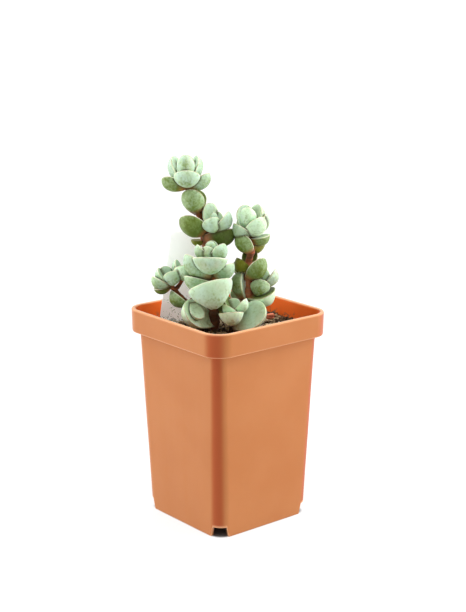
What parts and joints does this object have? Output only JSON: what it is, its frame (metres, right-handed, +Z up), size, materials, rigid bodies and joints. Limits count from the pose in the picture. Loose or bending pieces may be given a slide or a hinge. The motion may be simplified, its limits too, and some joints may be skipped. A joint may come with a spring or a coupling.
{
  "type": "potted crassula",
  "caption": "Small stacked-leaf crassula with fleshy powdery leaves, growing in soil in a tall square plastic nursery pot, with a bare plant label.",
  "frame": {"origin": "centre of the pot's foot, on the surface that the pot stands on", "axes": "+Z up, X and Y along the pot's sides; the picture looks at the corner between the +X and -Y sides"},
  "size_m": [0.07, 0.07, 0.174],
  "materials": {
    "pot_plastic": "satin terracotta-coloured moulded plastic",
    "soil": "damp peaty potting soil with crumbs",
    "label_plastic": "thin matt off-white plastic",
    "bark": "dry reddish bark",
    "leaf": "fleshy leaf with a pale powdery bloom and a thin pale margin"
  },
  "bodies": {
    "root": {"pot": "pot_plastic", "soil": "soil", "label": "label_plastic", "bark_chip": "bark", "shoot_tall": "leaf", "shoot_front": "leaf", "shoot_left": "leaf", "shoot_right": "leaf", "shoot_low": "leaf"}
  },
  "joints": []
}
